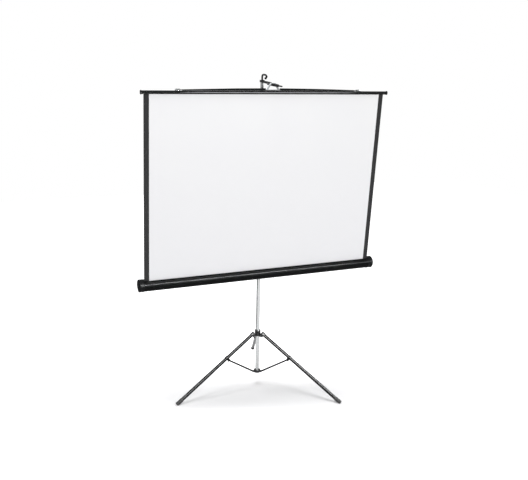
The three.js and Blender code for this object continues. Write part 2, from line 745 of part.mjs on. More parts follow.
function legTip() {
  const profile = [
    [0, tubeEnd + seatGap],
    [legRadius + seatGap, tubeEnd + seatGap],
    [legRadius + seatGap, legEnd - tipLength],
    [tipRadius - tipLip, legEnd - tipLength],
    [tipRadius, legEnd - tipLength + tipSeat],
    [tipRadius, legEnd + tipSeat],
    [tipRadius - tipSeat, legEnd + 2 * tipSeat],
    [0, legEnd + 2 * tipSeat],
  ];
  const tip = spun(profile, legPoint(0), legDirection, roundSteps);
  const floorTool = box([0, -tipRadius * 2, -tipLength], [legEnd * 2, tipRadius * 2, 0]);
  return cut(tip, floorTool);
}

function braceBar() {
  const start = [pivotReach, hubPivotHeight];
  const angle = Math.atan2(brace[1] - start[1], brace[0] - start[0]);
  const shape = outline([
    ...arc(start[0], start[1], braceEndRound, angle + Math.PI / 2, angle + 1.5 * Math.PI, roundSteps / 2),
    ...arc(brace[0], brace[1], braceEndRound, angle - Math.PI / 2, angle + Math.PI / 2, roundSteps / 2),
  ]);
  const hole = rod([brace[0], -mastSide, brace[1]], [brace[0], mastSide, brace[1]], pinRadius + seatGap);
  return cut(upright(shape, braceThickness), hole);
}

// A brace pin with shoulders that keep the brace in the clip's middle
function bracePin() {
  const reach = clipInner - seatGap;
  const waist = forkInner;
  return spun([
    [0, -reach],
    [pinRadius + pinShoulder, -reach],
    [pinRadius + pinShoulder, -waist],
    [pinRadius, -waist],
    [pinRadius, waist],
    [pinRadius + pinShoulder, waist],
    [pinRadius + pinShoulder, reach],
    [0, reach],
  ], [brace[0], 0, brace[1]], alongY, roundSteps);
}

legAzimuths.forEach((azimuth, k) => {
  const number = k + 1;
  const leg = new THREE.Group();
  leg.rotation.z = THREE.MathUtils.degToRad(azimuth);
  model.add(leg);
  const tubeShape = [
    [legRadius - legWall, legStart],
    [legRadius, legStart],
    [legRadius, tubeEnd],
    [legRadius - legWall, tubeEnd],
    [legRadius - legWall, legStart],
  ];
  place(`leg_tube_${number}`, spun(tubeShape, legPoint(0), legDirection, roundSteps), darkEnamel, leg);
  place(`leg_end_${number}`, legEndFitting(), casting, leg);
  place(`leg_clip_${number}`, legClip(), blackEnamel, leg);
  place(`leg_tip_${number}`, legTip(), rubber, leg);
  place(`brace_${number}`, braceBar(), blackEnamel, leg);
  place(`brace_pin_${number}`, bracePin(), steel, leg);
  const pin = rod(
    [pivotReach, -hoodOuter, legPivotHeight], [pivotReach, hoodOuter, legPivotHeight], pinRadius);
  place(`leg_pin_${number}`, pin, chrome, leg);
});

// The origin goes under the middle of the outline
const extent = new THREE.Box3().setFromObject(model);
const outlineMiddle = extent.getCenter(new THREE.Vector3());
model.position.set(-outlineMiddle.x, -outlineMiddle.y, 0);

export default screen;
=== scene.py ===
import json
import math

import bmesh
import bpy
from mathutils import Matrix, Vector


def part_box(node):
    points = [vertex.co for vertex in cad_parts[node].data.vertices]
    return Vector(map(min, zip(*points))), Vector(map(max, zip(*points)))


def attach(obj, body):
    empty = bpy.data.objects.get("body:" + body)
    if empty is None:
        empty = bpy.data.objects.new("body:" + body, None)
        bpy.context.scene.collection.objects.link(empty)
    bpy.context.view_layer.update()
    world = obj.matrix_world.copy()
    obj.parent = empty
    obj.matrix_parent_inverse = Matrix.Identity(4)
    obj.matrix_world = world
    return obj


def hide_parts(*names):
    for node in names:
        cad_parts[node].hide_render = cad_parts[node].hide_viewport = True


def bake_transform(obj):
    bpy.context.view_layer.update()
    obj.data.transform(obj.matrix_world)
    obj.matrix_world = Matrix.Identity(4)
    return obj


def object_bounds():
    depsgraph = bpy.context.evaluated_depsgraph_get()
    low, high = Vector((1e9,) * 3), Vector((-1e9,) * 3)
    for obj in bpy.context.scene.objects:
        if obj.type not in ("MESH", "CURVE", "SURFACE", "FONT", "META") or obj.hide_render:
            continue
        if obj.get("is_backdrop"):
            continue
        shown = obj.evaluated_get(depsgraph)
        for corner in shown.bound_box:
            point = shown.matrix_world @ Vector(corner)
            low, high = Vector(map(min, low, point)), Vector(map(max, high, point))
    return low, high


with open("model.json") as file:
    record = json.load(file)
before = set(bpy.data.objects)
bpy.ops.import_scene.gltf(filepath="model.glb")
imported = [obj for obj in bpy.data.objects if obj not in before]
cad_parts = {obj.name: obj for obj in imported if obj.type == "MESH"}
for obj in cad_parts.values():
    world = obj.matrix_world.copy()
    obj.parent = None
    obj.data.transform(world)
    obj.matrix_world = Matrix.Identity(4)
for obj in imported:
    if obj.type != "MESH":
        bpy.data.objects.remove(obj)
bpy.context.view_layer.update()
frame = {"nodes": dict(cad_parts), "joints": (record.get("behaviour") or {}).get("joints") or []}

nodes = frame["nodes"]
scene = bpy.context.scene
scene.view_settings.view_transform = "Standard"
joints = {joint["name"]: joint for joint in frame["joints"]}
mast_low, mast_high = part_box("mast_tube")
mast_x = (mast_low.x + mast_high.x) / 2
mast_y = (mast_low.y + mast_high.y) / 2

# Camera. It stands in front of the screen to its left, a little above the slat's height,
# and looks down at the mast with a slight roll, as the photograph does.
view_yaw = math.radians(23.826)
view_pitch = math.radians(13.914)
view_roll = math.radians(1.1225)
view_distance = 4.327
view_height = 2.0599
view_shift = 0.0297
focal_pixels = 702.47
photo_width = 528
sensor = 36.0

flat_forward = Vector((math.sin(view_yaw), math.cos(view_yaw), 0))
flat_right = Vector((math.cos(view_yaw), -math.sin(view_yaw), 0))
look = flat_forward * math.cos(view_pitch) - Vector((0, 0, math.sin(view_pitch)))
upward = flat_right.cross(look)
camera_right = flat_right * math.cos(view_roll) + upward * math.sin(view_roll)
camera_up = upward * math.cos(view_roll) - flat_right * math.sin(view_roll)
camera_data = bpy.data.cameras.new("camera")
camera_data.sensor_width = sensor
camera_data.lens = focal_pixels * sensor / photo_width
camera_data.clip_end = 100
camera = bpy.data.objects.new("camera", camera_data)
camera_turn = Matrix((camera_right, camera_up, -look)).transposed().to_4x4()
camera_place = (Vector((mast_x, mast_y, view_height)) - flat_forward * view_distance
                + flat_right * view_shift)
camera.matrix_world = Matrix.Translation(camera_place) @ camera_turn
scene.collection.objects.link(camera)
scene.camera = camera


# Studio. A pale floor that runs into a white surround, and four large soft lamps: two in
# front, one behind and one above, so that the dark legs keep a soft shadow on the floor.
def linear(hex_colour):
    channels = [int(hex_colour[k:k + 2], 16) / 255 for k in (1, 3, 5)]
    straight = [c / 12.92 if c <= 0.04045 else ((c + 0.055) / 1.055) ** 2.4 for c in channels]
    return (*straight, 1)


def add(tree, kind, links=None, **settings):
    """Adds a node with its settings. A link is another node's socket or a plain value."""
    node = tree.nodes.new(kind)
    for name, value in settings.items():
        setattr(node, name, value)
    for socket, source in (links or {}).items():
        if isinstance(source, bpy.types.NodeSocket):
            tree.links.new(source, node.inputs[socket])
        else:
            node.inputs[socket].default_value = source
    return node


def empty_material(name):
    material = bpy.data.materials.new(name)
    material.use_nodes = True
    material.node_tree.nodes.clear()
    return material, material.node_tree


def ray_shares(tree):
    """Two sockets: 1 for a ray that sees the background, and 1 for one that is mirrored."""
    path = add(tree, "ShaderNodeLightPath")
    seen = add(tree, "ShaderNodeMath", {
        0: path.outputs["Is Camera Ray"], 1: path.outputs["Is Transmission Ray"]},
        operation="MAXIMUM")
    return seen.outputs[0], path.outputs["Is Glossy Ray"]


world = bpy.data.worlds.new("surround")
world.use_nodes = True
world_tree = world.node_tree
world_tree.nodes.clear()
fill_strength = 0.32
mirrored_strength = 0.3
seen_share, mirrored_share = ray_shares(world_tree)
unseen = add(world_tree, "ShaderNodeMapRange", {
    "Value": mirrored_share, "To Min": fill_strength, "To Max": mirrored_strength})
strength = add(world_tree, "ShaderNodeMapRange", {
    "Value": seen_share, "To Min": unseen.outputs[0], "To Max": 1.0})
surround = add(world_tree, "ShaderNodeBackground", {
    "Color": linear("#FFFFFF"), "Strength": strength.outputs[0]})
add(world_tree, "ShaderNodeOutputWorld", {"Surface": surround.outputs[0]})
scene.world = world

# The floor is white to the camera through a glow that lights nothing. The glow is weakest
# in an oval under the tripod, across the line of sight: painted shade over the real soft shadow.
floor_size = 14
shade_middle = flat_forward * -0.22
shade_stretch = 4
shade_start = 0.06
shade_end = 0.6
shaded_glow = 0.08
bpy.ops.mesh.primitive_grid_add(x_subdivisions=2, y_subdivisions=2, size=floor_size)
floor = bpy.context.object
floor.name = "floor"
floor_material, tree = empty_material("pale_floor")
floor_colour = add(tree, "ShaderNodeBsdfDiffuse", {"Color": linear("#E9E9EA")})
floor_place = add(tree, "ShaderNodeTexCoord").outputs["Object"]
floor_middle = add(tree, "ShaderNodeMapping", {
    "Vector": floor_place, "Location": shade_middle, "Rotation": (0, 0, -view_yaw),
    "Scale": (shade_stretch, 1, 1)}, vector_type="TEXTURE")
floor_reach = add(tree, "ShaderNodeVectorMath", {0: floor_middle.outputs[0]}, operation="LENGTH")
far_white = add(tree, "ShaderNodeMapRange", {
    "Value": floor_reach.outputs["Value"], "From Min": shade_start, "From Max": shade_end,
    "To Min": shaded_glow, "To Max": 1.0}, interpolation_type="SMOOTHSTEP")
floor_white = add(tree, "ShaderNodeMath", {
    0: ray_shares(tree)[0], 1: far_white.outputs[0]}, operation="MULTIPLY")
floor_glow = add(tree, "ShaderNodeEmission", {
    "Color": linear("#FFFFFF"), "Strength": floor_white.outputs[0]})
floor_sum = add(tree, "ShaderNodeAddShader", {0: floor_colour.outputs[0], 1: floor_glow.outputs[0]})
add(tree, "ShaderNodeOutputMaterial", {"Surface": floor_sum.outputs[0]})
floor.data.materials.append(floor_material)
floor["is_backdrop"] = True

lamp_places = {
    "key_lamp": ((-2.0, -4.8, 3.4), 2.4, 104),
    "side_lamp": ((3.6, -3.0, 2.4), 2.0, 46),
    "back_lamp": ((-1.2, 4.4, 4.0), 2.6, 40),
    "top_lamp": ((-0.2, -0.15, 3.6), 1.2, 92),
}
lamp_aim = Vector((0, mast_y, 1.1))
for lamp_name, (lamp_place, lamp_size, lamp_power) in lamp_places.items():
    lamp_data = bpy.data.lights.new(lamp_name, "AREA")
    lamp_data.shape = "SQUARE"
    lamp_data.size = lamp_size
    lamp_data.energy = lamp_power
    lamp = bpy.data.objects.new(lamp_name, lamp_data)
    lamp.location = lamp_place
    lamp.rotation_euler = (lamp_aim - Vector(lamp_place)).to_track_quat("-Z", "Y").to_euler()
    scene.collection.objects.link(lamp)
scene.objects["top_lamp"].visible_glossy = False

# Two cards that only mirrors see. A dark one behind the screen to its left draws the mast's
# left side as a darker band, and a bright strip in front of the fabric draws the streaks
# along the legs, the case and the slat, as in the photograph.
cards = {
    "dark_card": (((-2.0, 0.15, 0.0), (0.1, 1.0, 0.0), (0.1, 1.0, 1.1), (-2.0, 0.15, 1.1)),
                  "#6E7072", 1.0),
    "bright_strip": (((-1.6, -1.18, 1.08), (1.2, -1.18, 1.08), (1.2, -1.06, 1.3),
                      (-1.6, -1.06, 1.3)), "#FFFFFF", 58.0),
}
for card_name, (card_corners, card_hex, card_strength) in cards.items():
    card_mesh = bpy.data.meshes.new(card_name)
    card_mesh.from_pydata(card_corners, [], [(0, 1, 2, 3)])
    card = bpy.data.objects.new(card_name, card_mesh)
    scene.collection.objects.link(card)
    card_material, tree = empty_material(card_name)
    card_colour = add(tree, "ShaderNodeEmission", {
        "Color": linear(card_hex), "Strength": card_strength})
    add(tree, "ShaderNodeOutputMaterial", {"Surface": card_colour.outputs[0]})
    card_mesh.materials.append(card_material)
    card.visible_camera = False
    card.visible_diffuse = False
    card.visible_shadow = False
    card.visible_transmission = False
    card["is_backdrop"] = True


# Castings. The hub, leg collar, leg ends, case slider, saddle and top block are zinc die
# castings, trimmed at the parting line and sprayed with a thin black satin enamel.
def per_mm(size):
    """A texture scale that gives one feature in this many millimetres."""
    return 1000 / size


def rgba(sockets):
    """The colour sockets of a node that has number and vector ones as well."""
    return [socket for socket in sockets if socket.type == "RGBA"]


def satin_finish(name, colour, worn, grain_mm, bump_mm, roughness, specular=0.5):
    """Paint or plastic: a slow shift of tone, fine grain in the roughness and the bump."""
    cloud_mm = 45
    material, tree = empty_material(name)
    place = add(tree, "ShaderNodeTexCoord").outputs["Object"]
    cloud = add(tree, "ShaderNodeTexNoise", {
        "Vector": place, "Scale": per_mm(cloud_mm), "Detail": 4.0})
    grain = add(tree, "ShaderNodeTexNoise", {
        "Vector": place, "Scale": per_mm(grain_mm), "Detail": 3.0})
    tone = add(tree, "ShaderNodeMapRange", {
        "Value": cloud.outputs["Fac"], "From Min": 0.3, "From Max": 0.75})
    colours = add(tree, "ShaderNodeMix", {"Factor": tone.outputs[0]}, data_type="RGBA")
    plain, rubbed = rgba(colours.inputs)
    plain.default_value = linear(colour)
    rubbed.default_value = linear(worn)
    gloss = add(tree, "ShaderNodeMapRange", {
        "Value": grain.outputs["Fac"], "To Min": roughness * 0.85, "To Max": roughness * 1.2})
    bump = add(tree, "ShaderNodeBump", {
        "Height": grain.outputs["Fac"], "Strength": 0.5, "Distance": bump_mm / 1000})
    shader = add(tree, "ShaderNodeBsdfPrincipled", {
        "Base Color": rgba(colours.outputs)[0], "Roughness": gloss.outputs[0],
        "Normal": bump.outputs[0], "Specular IOR Level": specular})
    add(tree, "ShaderNodeOutputMaterial", {"Surface": shader.outputs[0]})
    return material


cast_enamel = satin_finish("die_cast_black_enamel", "#17181A", "#222324", 1.6, 0.25, 0.4)


def plain_copy(owner, name):
    """The evaluated object as a plain mesh object with no modifiers."""
    graph = bpy.context.evaluated_depsgraph_get()
    mesh = bpy.data.meshes.new_from_object(owner.evaluated_get(graph), depsgraph=graph)
    bpy.data.objects.remove(owner)
    mesh.name = name
    piece = bpy.data.objects.new(name, mesh)
    scene.collection.objects.link(piece)
    return piece


def smooth_by_angle(piece, degrees=35):
    piece.data.shade_smooth()
    piece.data.set_sharp_from_angle(angle=math.radians(degrees))


def dressed(piece, material, body, slot, *replaced):
    """Gives a finished piece its material and the body that it moves with, and hides what it
    replaces.
    """
    piece.data.materials.clear()
    piece.data.materials.append(material)
    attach(piece, body)
    if replaced:
        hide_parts(*replaced)


def eased(node, edge_mm, material, body, slot, segments=2):
    """A CAD piece with its loose triangles joined and its edges rounded, in place of the node."""
    mesh = nodes[node].data.copy()
    work = bmesh.new()
    work.from_mesh(mesh)
    bmesh.ops.remove_doubles(work, verts=work.verts, dist=2e-6)
    bmesh.ops.dissolve_limit(work, angle_limit=math.radians(0.6), verts=work.verts,
                             edges=work.edges)
    work.to_mesh(mesh)
    work.free()
    piece = bpy.data.objects.new(node + "_work", mesh)
    scene.collection.objects.link(piece)
    rounding = piece.modifiers.new("rounding", "BEVEL")
    rounding.width = edge_mm / 1000
    rounding.segments = segments
    rounding.limit_method = "ANGLE"
    rounding.angle_limit = math.radians(38)
    rounding.use_clamp_overlap = True
    piece = plain_copy(piece, node + "_eased")
    smooth_by_angle(piece)
    dressed(piece, material, body, slot, node)


for cast_node, cast_body, edge in (
        ("hub_casting", "mast", 0.8), ("leg_collar", "collar", 0.9), ("case_slider", "mast", 1.0),
        ("case_saddle", "mast", 1.0), ("top_block", "extension", 0.6)):
    eased(cast_node, edge, cast_enamel, cast_body, "cast_black")
for number in (1, 2, 3):
    eased(f"leg_end_{number}", 0.7, cast_enamel, f"leg_{number}", "cast_black")


# Mast and extension. Two square steel tubes, drawn, polished and chrome plated, with the
# faint lengthwise lines of the polishing belt.
def chrome_finish(name, colour, line_mm, roughness):
    """Plated metal: fine lines along Z and a slow haze in the roughness."""
    haze_mm = 60
    line_stretch = 0.02
    material, tree = empty_material(name)
    place = add(tree, "ShaderNodeTexCoord").outputs["Object"]
    along = add(tree, "ShaderNodeMapping", {"Vector": place, "Scale": (1, 1, line_stretch)})
    lines = add(tree, "ShaderNodeTexNoise", {
        "Vector": along.outputs[0], "Scale": per_mm(line_mm), "Detail": 5.0})
    haze = add(tree, "ShaderNodeTexNoise", {
        "Vector": place, "Scale": per_mm(haze_mm), "Detail": 3.0})
    spread = add(tree, "ShaderNodeMath", {
        0: lines.outputs["Fac"], 1: haze.outputs["Fac"]}, operation="MULTIPLY")
    gloss = add(tree, "ShaderNodeMapRange", {
        "Value": spread.outputs[0], "From Max": 0.5,
        "To Min": roughness - 0.05, "To Max": roughness + 0.1})
    bump = add(tree, "ShaderNodeBump", {
        "Height": lines.outputs["Fac"], "Strength": 0.25, "Distance": 0.0001})
    shader = add(tree, "ShaderNodeBsdfPrincipled", {
        "Base Color": linear(colour), "Metallic": 1.0, "Roughness": gloss.outputs[0],
        "Normal": bump.outputs[0]})
    add(tree, "ShaderNodeOutputMaterial", {"Surface": shader.outputs[0]})
    return material


def linked_piece(name, work):
    """The bmesh as an object of the scene, with its faces turned outwards."""
    bmesh.ops.recalc_face_normals(work, faces=work.faces)
    mesh = bpy.data.meshes.new(name)
    work.to_mesh(mesh)
    work.free()
    piece = bpy.data.objects.new(name, mesh)
    scene.collection.objects.link(piece)
    return piece


def strip_mesh(name, rings, looped=False):
    """A skin over rings of points, capped at its ends, or looped from the last to the first."""
    work = bmesh.new()
    rows = [[work.verts.new(point) for point in ring] for ring in rings]
    count = len(rows[0])
    pairs = list(zip(rows, rows[1:]))
    if looped:
        pairs.append((rows[-1], rows[0]))
    for first, second in pairs:
        for k in range(count):
            after = (k + 1) % count
            work.faces.new((first[k], first[after], second[after], second[k]))
    if not looped:
        work.faces.new(rows[0][::-1])
        work.faces.new(rows[-1])
    return linked_piece(name, work)


def rounded_square(half, corner, steps=5):
    """Points round a square with round corners, in the X and Y plane."""
    points = []
    for quarter in range(4):
        centre_angle = math.pi / 4 + quarter * math.pi / 2
        middle = Vector((math.copysign(half - corner, math.cos(centre_angle)),
                         math.copysign(half - corner, math.sin(centre_angle)), 0))
        for k in range(steps + 1):
            angle = quarter * math.pi / 2 + math.pi / 2 * k / steps
            points.append(middle + Vector((math.cos(angle), math.sin(angle), 0)) * corner)
    return points


chrome_plate = chrome_finish("polished_chrome_plate", "#D6D8D8", 1.2, 0.22)
tube_corner = 0.0022
tube_wall = 0.0012
centre = Vector((mast_x, mast_y, 0))
for tube_node, tube_body in (("mast_tube", "mast"), ("extension_tube", "extension")):
    low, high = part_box(tube_node)
    half = (high.x - low.x) / 2
    outside = rounded_square(half, tube_corner)
    inside = rounded_square(half - tube_wall, tube_corner - tube_wall)
    levels = [(outside, low.z), (outside, high.z), (inside, high.z), (inside, low.z)]
    rings = [[centre + point + Vector((0, 0, height)) for point in loop] for loop, height in levels]
    tube = strip_mesh(tube_node + "_drawn", rings, looped=True)
    smooth_by_angle(tube)
    dressed(tube, chrome_plate, tube_body, "chrome", tube_node)

# Mast bushing, clamp knobs and latch button. Moulded in black ABS with a fine spark-eroded
# grain; each knob has eight lobes and is pressed on a plated screw.
moulded_black = satin_finish("moulded_black_abs", "#101112", "#18191A", 0.9, 0.08, 0.44,
                             specular=0.2)
eased("mast_bushing", 0.8, moulded_black, "mast", "plastic_black")
eased("height_knob", 1.4, moulded_black, "height_clamp", "plastic_black", segments=3)
eased("case_knob", 1.4, moulded_black, "case_clamp", "plastic_black", segments=3)
eased("latch_button", 0.8, moulded_black, "latch", "plastic_black", segments=3)

# Small steel parts. Rivets, brace pins and the pivot bolt are zinc-plated steel, turned and
# headed; the arm's bolt, the leg pins and the bail clips are bright plated.
satin_steel = chrome_finish("zinc_plated_steel", "#A9ACAF", 0.8, 0.34)
bright_steel = chrome_finish("bright_plated_steel", "#CFD2D3", 0.8, 0.2)
eased("case_pivot_bolt", 0.5, satin_steel, "mast", "steel")
eased("arm_bolt", 0.5, bright_steel, "extension", "chrome")
for number in (1, 2, 3):
    eased(f"brace_pin_{number}", 0.4, satin_steel, f"leg_{number}", "steel")
    eased(f"leg_pin_{number}", 0.5, bright_steel, "collar", "chrome")

# Legs. Welded steel tube of 22 mm, sprayed with a smooth glossy charcoal enamel, so that a
# soft streak runs along each crown. The tubes are swept along their middle lines.
leg_enamel = satin_finish("charcoal_leg_enamel", "#0C0D0E", "#111213", 2.4, 0.004, 0.14,
                          specular=0.2)
leg_drop = 0.0171
leg_radius = 0.0111
leg_start = -0.008
tip_centre_height = 0.006
tube_short = 0.012
leg_sides = 40


def sweep_tree():
    """Round bar along the carrier's own edges. Its inputs are the outline's radius and sides."""
    tree = bpy.data.node_groups.new("swept_round_bar", "GeometryNodeTree")
    face = tree.interface
    face.new_socket("Path", in_out="INPUT", socket_type="NodeSocketGeometry")
    face.new_socket("Radius", in_out="INPUT", socket_type="NodeSocketFloat")
    face.new_socket("Sides", in_out="INPUT", socket_type="NodeSocketInt")
    face.new_socket("Finish", in_out="INPUT", socket_type="NodeSocketMaterial")
    face.new_socket("Bar", in_out="OUTPUT", socket_type="NodeSocketGeometry")
    entry = add(tree, "NodeGroupInput")
    curve = add(tree, "GeometryNodeMeshToCurve", {"Mesh": entry.outputs["Path"]})
    circle = add(tree, "GeometryNodeCurvePrimitiveCircle", {
        "Resolution": entry.outputs["Sides"], "Radius": entry.outputs["Radius"]})
    skin = add(tree, "GeometryNodeCurveToMesh", {
        "Curve": curve.outputs[0], "Profile Curve": circle.outputs[0], "Fill Caps": True})
    smooth = add(tree, "GeometryNodeSetShadeSmooth", {"Geometry": skin.outputs[0]})
    real = add(tree, "GeometryNodeRealizeInstances", {"Geometry": smooth.outputs[0]})
    painted = add(tree, "GeometryNodeSetMaterial", {
        "Geometry": real.outputs[0], "Material": entry.outputs["Finish"]})
    add(tree, "NodeGroupOutput", {"Bar": painted.outputs[0]})
    return tree


def run_tree(tree, carrier, name, **values):
    """Runs a geometry nodes tree on a carrier with named inputs and keeps the plain mesh."""
    modifier = carrier.modifiers.new(tree.name, "NODES")
    modifier.node_group = tree
    for socket in tree.interface.items_tree:
        if socket.in_out == "INPUT" and socket.name in values:
            modifier[socket.identifier] = values[socket.name]
    bpy.context.view_layer.update()
    return plain_copy(carrier, name)


def path_object(points):
    mesh = bpy.data.meshes.new("path")
    edges = [(k, k + 1) for k in range(len(points) - 1)]
    mesh.from_pydata([tuple(p) for p in points], edges, [])
    carrier = bpy.data.objects.new("path", mesh)
    scene.collection.objects.link(carrier)
    return carrier


def leg_lines(number):
    """Where a leg turns and is braced, its pins' line, and its tube's top, way and length."""
    pivot = Vector(joints[f"leg_fold_{number}"]["pos_m"])
    link = Vector(joints[f"brace_fold_{number}"]["pos_m"])
    across = Vector(joints[f"leg_fold_{number}"]["axis"]).normalized()
    down = (link - pivot).normalized()
    away = down.cross(across).normalized()
    top = pivot + away * leg_drop
    return {"pivot": pivot, "link": link, "across": across, "down": down, "top": top,
            "length": (top.z - tip_centre_height) / -down.z}


swept_bar = sweep_tree()
legs = {number: leg_lines(number) for number in (1, 2, 3)}
for number, leg in legs.items():
    ends = [leg["top"] + leg["down"] * distance
            for distance in (leg_start, leg["length"] - tube_short)]
    tube = run_tree(swept_bar, path_object(ends), f"leg_{number}_tube", Radius=leg_radius,
                    Sides=leg_sides, Finish=leg_enamel)
    smooth_by_angle(tube)
    dressed(tube, leg_enamel, f"leg_{number}", "dark_enamel", f"leg_tube_{number}")


# Leg tips. Moulded rubber boots pushed over the tube's end: a thin lip, three grip rings
# and a sole that is worn flat where it stands on the floor.
def spun_mesh(name, profile, steps):
    """A profile of (radius, height) pairs spun about Z, closed where it meets the axis."""
    work = bmesh.new()
    rows = []
    for radius, height in profile:
        if radius == 0:
            rows.append([work.verts.new((0, 0, height))])
            continue
        rows.append([work.verts.new((radius * math.cos(2 * math.pi * k / steps),
                                     radius * math.sin(2 * math.pi * k / steps), height))
                     for k in range(steps)])
    for first, second in zip(rows, rows[1:]):
        for k in range(steps):
            after = (k + 1) % steps
            corners = [first[k % len(first)], first[after % len(first)],
                       second[after % len(second)], second[k % len(second)]]
            unique = list(dict.fromkeys(corners))
            if len(unique) > 2:
                work.faces.new(unique)
    return linked_piece(name, work)


def set_down(piece, place, direction):
    """Moves a mesh spun about Z so that Z runs along a direction from a place."""
    turn = Vector(direction).to_track_quat("Z", "Y").to_matrix().to_4x4()
    piece.data.transform(Matrix.Translation(place) @ turn)


rubber_black = satin_finish("moulded_black_rubber", "#131313", "#1C1C1C", 1.4, 0.3, 0.72)
tip_length = 0.038
tip_radius = 0.013
tip_step = 0.003
tip_sides = 40
ring_count = 3
ring_depth = 0.0006
tip_bore = leg_radius + 0.0001
tip_waist = tip_radius - 0.0002
ring_valley = tip_radius - ring_depth - 0.0002
for number, leg in legs.items():
    length = leg["length"]
    mouth = length - tip_length
    stop = length - tube_short + 0.0003
    profile = [(tip_bore, mouth + 0.004), (leg_radius + 0.0003, mouth),
               (tip_radius - 0.0012, mouth), (tip_waist, mouth + tip_step * 0.5),
               (tip_waist, mouth + tip_step * 2)]
    for ring in range(ring_count):
        base = mouth + tip_step * (2.5 + 2 * ring)
        profile += [(ring_valley, base), (ring_valley, base + 0.001),
                    (tip_radius, base + 0.0016), (tip_radius, base + tip_step * 1.2)]
    profile += [(tip_radius, length + tip_step), (tip_radius - 0.0009, length + tip_step * 1.7),
                (tip_radius - tip_step, length + 2 * tip_step), (0, length + 2 * tip_step),
                (0, stop), (tip_bore, stop), (tip_bore, mouth + 0.004)]
    tip = spun_mesh(f"leg_{number}_boot", profile, tip_sides)
    set_down(tip, leg["top"], leg["down"])
    work = bmesh.new()
    work.from_mesh(tip.data)
    bmesh.ops.remove_doubles(work, verts=work.verts, dist=1e-6)
    for vertex in work.verts:
        vertex.co.z = max(vertex.co.z, 0.0)
    bmesh.ops.recalc_face_normals(work, faces=work.faces)
    work.to_mesh(tip.data)
    work.free()
    smooth_by_angle(tip, 50)
    dressed(tip, rubber_black, f"leg_{number}", "rubber", f"leg_tip_{number}")

# Leg clips and braces. Pressed steel: each clip is a strap folded over the leg, and each
# brace a flat bar with round ends, pinned in the clip, its lower end in the hub's fork.
brace_enamel = satin_finish("black_brace_enamel", "#0E0F10", "#161717", 1.3, 0.15, 0.4,
                            specular=0.08)
brace_width = 0.011
brace_half = brace_width / 2
brace_thickness = 0.003
brace_edge = 0.0006
end_steps = 12
for number, leg in legs.items():
    eased(f"leg_clip_{number}", 0.4, leg_enamel, f"leg_{number}", "dark_enamel")
    pivot, link, across = leg["pivot"], leg["link"], leg["across"]
    hub_end = Vector((pivot.x, pivot.y, 2 * link.z - pivot.z))
    along = (link - hub_end).normalized()
    side = across.cross(along).normalized()
    span = (link - hub_end).length
    outline = []
    for end_turn, end_at in ((math.pi / 2, 0.0), (-math.pi / 2, span)):
        for k in range(end_steps + 1):
            angle = end_turn + math.pi * k / end_steps
            outline.append((end_at + brace_half * math.cos(angle), brace_half * math.sin(angle)))
    layers = []
    for level, inset in ((-0.5, brace_edge), (-0.38, 0.0), (0.38, 0.0), (0.5, brace_edge)):
        shrink = 1 - inset / brace_half
        ring = []
        for x, y in outline:
            centre_x = min(max(x, 0.0), span)
            flat_x = centre_x + (x - centre_x) * shrink
            ring.append(hub_end + along * flat_x + side * (y * shrink)
                        + across * (level * brace_thickness))
        layers.append(ring)
    bar = strip_mesh(f"brace_{number}_bar", layers)
    smooth_by_angle(bar, 40)
    dressed(bar, brace_enamel, f"brace_link_{number}", "dark_enamel", f"brace_{number}")

# Case. A long roll-formed steel tube with lengthwise flutes and an open slot for the fabric,
# powder coated black. A raised bead along its front has a glossier coat painted paler: a painted
# highlight that draws the pale line.
case_coat = satin_finish("black_powder_coat", "#0C0D0D", "#131414", 0.8, 0.05, 0.3, specular=0.03)
bead_coat_painted_highlight = satin_finish("glossy_powder_coat_painted_highlight", "#26282A", "#303234", 0.8, 0.05, 0.26,
                         specular=0.3)
case_low, case_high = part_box("case_shell")
case_radius = (case_high.z - case_low.z) / 2
case_centre = Vector((0, (case_low.y + case_high.y) / 2, (case_low.z + case_high.z) / 2))
fabric_low, fabric_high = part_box("screen_fabric")
cad_fabric_thickness = 0.0008
fabric_foot = Vector((0, fabric_high.y - cad_fabric_thickness / 2, fabric_low.z))
fabric_head = Vector((0, fabric_low.y + cad_fabric_thickness / 2, fabric_high.z))
fabric_rise = (fabric_head - fabric_foot).normalized()
flute_count = 26
flute_steps = 8
flute_sink = 0.0009
bead_rise = 0.0016
bead_half = math.radians(4.2)
bead_angle = math.radians(163)
shell_wall = 0.001
slot_half = 0.003
lip_depth = 0.004


def around(radius, angle):
    """A point in Y and Z at a radius and an angle round the case's middle."""
    return radius * math.cos(angle), radius * math.sin(angle)


def off_bead(angle):
    """How far an angle round the case is from the bead's middle, as a share of its half."""
    return abs((angle - bead_angle + math.pi) % (2 * math.pi) - math.pi) / bead_half


def slot_angle():
    """The angle at which the fabric crosses the case's outside, seen along X."""
    start = fabric_foot - case_centre
    reach = -start.dot(fabric_rise) + math.sqrt(
        start.dot(fabric_rise) ** 2 - start.length_squared + case_radius ** 2)
    crossing = start + fabric_rise * reach
    return math.atan2(crossing.z, crossing.y)


def shell_outline():
    """The fluted outside, the rolled lips at the slot and the plain inside, in Y and Z."""
    open_half = slot_half / case_radius
    first = slot_angle() + open_half
    last = slot_angle() + 2 * math.pi - open_half
    steps = flute_count * flute_steps
    points = []
    for k in range(steps + 1):
        angle = first + (last - first) * k / steps
        wave = 0.5 - 0.5 * math.cos(2 * math.pi * k / flute_steps)
        radius = case_radius - flute_sink * wave ** 3
        if off_bead(angle) < 1:
            radius = case_radius + bead_rise * (1 - off_bead(angle) ** 2) ** 0.5
        points.append(around(radius, angle))
    lip = case_radius - lip_depth
    lip_turn = shell_wall / case_radius
    points += [around(lip, last), around(lip, last - lip_turn)]
    for k in range(steps + 1):
        angle = last - lip_turn + (first - last + 2 * lip_turn) * k / steps
        points.append(around(case_radius - shell_wall - flute_sink, angle))
    return points + [around(lip, first + lip_turn), around(lip, first)]


